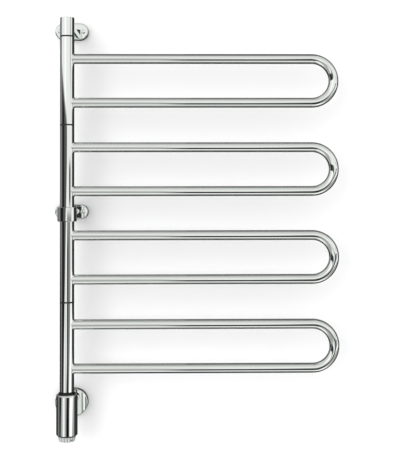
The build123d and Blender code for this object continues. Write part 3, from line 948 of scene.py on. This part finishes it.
@dataclass
class Studio:
    """Pale wall and floor, soft light and the surroundings that the chrome reflects."""

    horizon: tuple[tuple[float, float], ...] = (
        (-90, 0.04), (-80, 0.08), (-71, 0.75), (-66, 1.05), (-54, 1.05), (-46, 0.60),
        (-36, 0.42), (-22, 0.38), (-14, 0.38), (-6, 0.68), (-2.5, 0.92), (0, 0.90),
        (22, 0.86), (30, 0.80), (42, 0.68), (68, 0.66), (80, 0.20), (90, 0.12),
    )
    panels: tuple[Panel, ...] = (
        Panel(138, 46, 0, 90, 0.035, feather=6),
        Panel(-138, 50, 0, 90, 0.20, feather=6),
        Panel(-145, 40, -22, 18, 0.03, softness=8),
        Panel(180, 80, 38, 22, 0.16, feather=12, softness=12, both_sides=True),
        Panel(180, 82, -62, 34, 0.05, feather=12, softness=12, both_sides=True),
        Panel(-28, 12, -9, 9, 0.95, feather=8, softness=6),
        Panel(-22, 11, 11, 12, 1.15, softness=6),
        Panel(-41, 46, -1.8, 7.5, 0.11, feather=6, softness=1.2, slope=0.1025, spread=-0.14),
        Panel(-58, 20, -3.5, 9.0, 0.015, feather=12, softness=1.2, slope=0.1025, spread=-0.14),
        Panel(3, 4, -6.5, 4.5, 1.25, feather=2, softness=2),
        Panel(33, 27, -7, 5.6, 0.27, feather=6, softness=1.0),
        Panel(13, 14, -31, 19, 0.05, feather=3, softness=4),
        Panel(18, 10, -10, 7, 0.0, feather=4, softness=2),
        Panel(62, 28, -11, 3.6, 1.15, feather=8, softness=2.5, slope=0.2),
        Panel(52, 12.5, 0.3, 1.3, 0.03, feather=8, softness=1.0),
        Panel(60, 5, 10, 4, 0.30, feather=6, softness=4),
        Panel(0, 190, 90, 14, 0.12, softness=8),
    )
    wall_gap: float = 0.3 * MM
    floor_drop: float = 0.55
    reach: float = 4.0
    paper_white: float = 0.94
    key_place: Point = (-1.80, -4.20, 1.05)
    key_target: Point = (0.20, 0.0, 0.0)
    key_size: float = 3.2
    key_power: float = 88.0
    fill_level: float = 0.93
    bounce_level: float = 0.25
    near_wall_level: float = 0.85
    near_wall_reach: float = 0.17
    near_wall_top: float = -0.12
    sky_level: float = 1.0

    def sheet(self, name: str, corners: list[Point]) -> bpy.types.Object:
        """Make one flat stage sheet that can't be seen from behind.

        Args:
            name: Name of the sheet.
            corners: Its corners, counter-clockwise as seen from the room.

        Returns:
            The sheet.
        """
        mesh = bpy.data.meshes.new(name)
        mesh.from_pydata(corners, [], [tuple(range(len(corners)))])
        mesh.materials.append(self.paper())
        made = bpy.data.objects.new(name, mesh)
        bpy.context.scene.collection.objects.link(made)
        made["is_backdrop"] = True
        return made

    def paper(self) -> bpy.types.Material:
        """Give the stage's white material, clear from behind and to reflections.

        Returns:
            The material.
        """
        known = bpy.data.materials.get("stage_paper")
        if known:
            return known
        made = bpy.data.materials.new("stage_paper")
        made.use_nodes = True
        made.node_tree.nodes.clear()
        graph = Graph(made.node_tree)
        white = graph.node("ShaderNodeBsdfDiffuse")
        white.inputs["Color"].default_value = rgba((self.paper_white,) * 3)
        clear = graph.node("ShaderNodeBsdfTransparent")
        behind = graph.node("ShaderNodeNewGeometry").outputs["Backfacing"]
        path = graph.node("ShaderNodeLightPath")
        hidden = graph.math("MAXIMUM", behind, path.outputs["Is Glossy Ray"])
        mix = graph.node("ShaderNodeMixShader")
        graph.join(hidden, mix.inputs[0])
        graph.join(white.outputs[0], mix.inputs[1])
        graph.join(clear.outputs[0], mix.inputs[2])
        graph.join(mix.outputs[0], graph.node("ShaderNodeOutputMaterial").inputs["Surface"])
        return made

    def surroundings(self, graph: Graph) -> bpy.types.NodeSocket:
        """Work out what lies in each direction round the object.

        Args:
            graph: The world's graph.

        Returns:
            The brightness socket.
        """
        direction = graph.node("ShaderNodeTexCoord").outputs["Generated"]
        parts = graph.node("ShaderNodeSeparateXYZ")
        graph.join(direction, parts.inputs[0])
        right, back, up = parts.outputs
        turn = graph.math("ARCTAN2", right, graph.math("MULTIPLY", back, -1.0))
        azimuth = graph.math("DEGREES", turn)
        elevation = graph.math("DEGREES", graph.math("ARCSINE", up))
        base = graph.node("ShaderNodeValToRGB")
        graph.join(graph.math("DIVIDE", graph.math("ADD", elevation, 90.0), 180.0), base.inputs[0])
        ramp = base.color_ramp
        ramp.elements.remove(ramp.elements[1])
        for number, (angle, level) in enumerate(self.horizon):
            place = (angle + 90) / 180
            stop = ramp.elements[0] if number == 0 else ramp.elements.new(place)
            stop.position = place
            stop.color = (level, level, level, 1.0)
        result = base.outputs["Color"]
        both = graph.math("ABSOLUTE", azimuth)
        for panel in self.panels:
            mask = StudioPanel().place(
                graph,
                Azimuth=both if panel.both_sides else azimuth,
                Elevation=elevation,
                Centre_azimuth=panel.azimuth,
                Half_width=panel.half_width,
                Centre_elevation=panel.elevation,
                Half_height=panel.half_height,
                Slope=panel.slope,
                Spread=panel.spread,
                Feather=panel.feather,
                Softness=panel.softness,
            ).outputs["Mask"]
            result = graph.blend(mask, result, rgba((panel.level,) * 3))
        return result

    def build_world(self) -> None:
        """Make the world: plain to the camera, even to matt surfaces, a studio to glossy ones."""
        world = bpy.data.worlds.new("studio")
        bpy.context.scene.world = world
        world.use_nodes = True
        world.node_tree.nodes.clear()
        graph = Graph(world.node_tree)
        path = graph.node("ShaderNodeLightPath")
        fill = rgba((self.fill_level,) * 3)
        seen = rgba((self.sky_level,) * 3)
        wall = rgba((self.near_wall_level,) * 3)
        again = graph.math("GREATER_THAN", path.outputs["Glossy Depth"], TWO_BOUNCES)
        behind = graph.node("ShaderNodeSeparateXYZ")
        graph.join(graph.node("ShaderNodeTexCoord").outputs["Generated"], behind.inputs[0])
        backward = graph.math("GREATER_THAN", behind.outputs[1], self.near_wall_reach)
        downward = graph.math("LESS_THAN", behind.outputs[2], self.near_wall_top)
        to_wall = graph.math("MULTIPLY", again, graph.math("MULTIPLY", backward, downward))
        color = graph.blend(to_wall, self.surroundings(graph), wall)
        bounced = graph.math("GREATER_THAN", path.outputs["Diffuse Depth"], ONE_BOUNCE)
        color = graph.blend(bounced, color, rgba((self.bounce_level,) * 3))
        color = graph.blend(path.outputs["Is Diffuse Ray"], color, fill)
        color = graph.blend(path.outputs["Is Camera Ray"], color, seen)
        sky = graph.node("ShaderNodeBackground")
        graph.join(color, sky.inputs["Color"])
        graph.join(sky.outputs[0], graph.node("ShaderNodeOutputWorld").inputs["Surface"])

    def build_key(self) -> None:
        """Make the large soft lamp at the upper left."""
        lamp = bpy.data.lights.new("key_lamp", "AREA")
        lamp.shape = "DISK"
        lamp.size = self.key_size
        lamp.energy = self.key_power
        made = bpy.data.objects.new("key_lamp", lamp)
        bpy.context.scene.collection.objects.link(made)
        made.location = self.key_place
        aim = Vector(self.key_target) - Vector(self.key_place)
        made.rotation_euler = aim.to_track_quat("-Z", "Y").to_euler()
        made.visible_glossy = False
        made.visible_camera = False

    def build(self) -> None:
        """Put up the wall, the floor, the lamp and the world."""
        low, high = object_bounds()
        wall = high.y + self.wall_gap
        ground = low.z - self.floor_drop
        wide = self.reach
        foot = [(-wide, wall, ground), (wide, wall, ground)]
        self.sheet("studio_wall", [*foot, (wide, wall, wide), (-wide, wall, wide)])
        self.sheet("studio_floor", [(-wide, -wide, ground), (wide, -wide, ground), *reversed(foot)])
        self.build_key()
        self.build_world()
        bpy.context.scene.view_settings.view_transform = "Standard"


@dataclass(frozen=True)
class PhotoCamera:
    """The photograph's viewpoint, with angles in degrees and the 400 by 458 picture's pixels."""

    place: Point = (0.2167, -1.8106, 0.0427)
    yaw: float = 0.828
    pitch: float = 0.907
    roll: float = -0.084
    focal_pixels: float = 950.0
    height_pixels: float = 458.0
    centre_row: float = 174.0
    sensor: float = 36.0
    nearest: float = 0.05
    farthest: float = 40.0

    def build(self) -> bpy.types.Object:
        """Make the camera and look through it.

        Returns:
            The camera.
        """
        yaw, pitch, roll = (math.radians(angle) for angle in (self.yaw, self.pitch, self.roll))
        ahead = Vector((math.sin(yaw) * math.cos(pitch), math.cos(yaw) * math.cos(pitch), math.sin(pitch)))
        right = Vector((math.cos(yaw), -math.sin(yaw), 0.0))
        up = right.cross(ahead)
        tilted_right = right * math.cos(roll) + up * math.sin(roll)
        tilted_up = up * math.cos(roll) - right * math.sin(roll)
        lens = bpy.data.cameras.new("photo_camera")
        lens.sensor_fit = "AUTO"
        lens.sensor_width = self.sensor
        lens.lens = self.focal_pixels / self.height_pixels * self.sensor
        lens.shift_y = (self.centre_row - self.height_pixels / 2) / self.height_pixels
        lens.clip_start = self.nearest
        lens.clip_end = self.farthest
        made = bpy.data.objects.new("photo_camera", lens)
        bpy.context.scene.collection.objects.link(made)
        turn = Matrix((tilted_right, tilted_up, -ahead)).transposed().to_4x4()
        made.matrix_world = Matrix.Translation(self.place) @ turn
        bpy.context.scene.camera = made
        return made


def main() -> None:
    """Load the frame, dress it, build what the scene adds and set up the studio."""
    logging.basicConfig(level=logging.INFO, format="%(name)s: %(message)s")
    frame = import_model()
    dress_frame(frame)
    PhotoCamera().build()
    for piece in WallScrews().build():
        LOG.info("made %s", piece.name)
    Studio().build()


if __name__ == "__main__":
    main()
